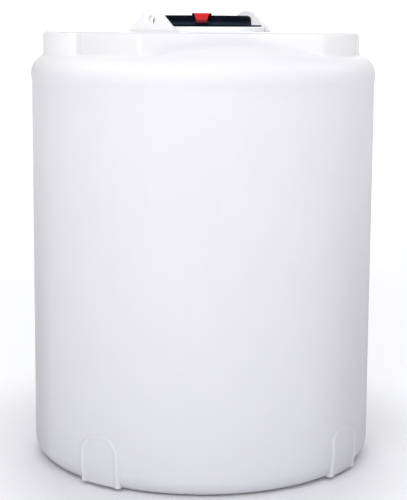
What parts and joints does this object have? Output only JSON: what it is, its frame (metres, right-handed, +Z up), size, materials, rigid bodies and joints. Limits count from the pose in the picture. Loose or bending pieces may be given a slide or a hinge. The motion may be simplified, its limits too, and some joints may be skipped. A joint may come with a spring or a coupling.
{
  "type": "polyethylene storage tank",
  "caption": "Upright round polyethylene tank with a raised flat-topped crown, a hinged black manway lid with a red latch, lifting eyes and tie-down lugs.",
  "frame": {"origin": "centre of the tank's base, on the floor", "axes": "+Z up, -Y towards the crown's front face, +X to the right as seen from the front"},
  "size_m": [1.4074, 1.4074, 1.8383],
  "materials": {
    "white_polyethylene": "satin, natural white",
    "black_lid": "satin black",
    "red_latch": "semi-gloss red",
    "grey_bracket": "satin grey",
    "steel_pin": "plain steel"
  },
  "bodies": {
    "tank": {"bottom_end": "white_polyethylene", "wall_segment_01": "white_polyethylene", "wall_segment_02": "white_polyethylene", "wall_segment_03": "white_polyethylene", "wall_segment_04": "white_polyethylene", "wall_segment_05": "white_polyethylene", "wall_segment_06": "white_polyethylene", "wall_segment_07": "white_polyethylene", "wall_segment_08": "white_polyethylene", "wall_segment_09": "white_polyethylene", "wall_segment_10": "white_polyethylene", "wall_segment_11": "white_polyethylene", "wall_segment_12": "white_polyethylene", "shoulder_front": "white_polyethylene", "shoulder_right": "white_polyethylene", "shoulder_back": "white_polyethylene", "shoulder_left": "white_polyethylene", "crown_front": "white_polyethylene", "crown_front_right": "white_polyethylene", "crown_right": "white_polyethylene", "crown_back_right": "white_polyethylene", "crown_back": "white_polyethylene", "crown_back_left": "white_polyethylene", "crown_left": "white_polyethylene", "crown_front_left": "white_polyethylene", "roof_deck": "white_polyethylene", "manway_neck": "white_polyethylene", "lifting_eye_front": "white_polyethylene", "lifting_eye_back": "white_polyethylene", "tie_down_front_left": "white_polyethylene", "tie_down_front_right": "white_polyethylene", "tie_down_back_right": "white_polyethylene", "tie_down_back_left": "white_polyethylene", "neck_clip": "grey_bracket", "lid_hinge_bracket": "grey_bracket", "lid_hinge_pin": "steel_pin"},
    "lid": {"manway_lid": "black_lid", "latch_pin": "steel_pin"},
    "latch": {"latch_lever": "red_latch"}
  },
  "joints": [
    {"name": "lid_hinge", "type": "hinge", "parent": "tank", "child": "lid", "pos_m": [0.06326, 0.26762, 1.7785], "axis": [-0.9732, 0.23, 0], "range_deg": [0, 100]},
    {"name": "latch_pivot", "type": "hinge", "parent": "lid", "child": "latch", "pos_m": [-0.04797, -0.20291, 1.787], "axis": [0.9732, -0.23, 0], "range_deg": [0, 80]}
  ]
}
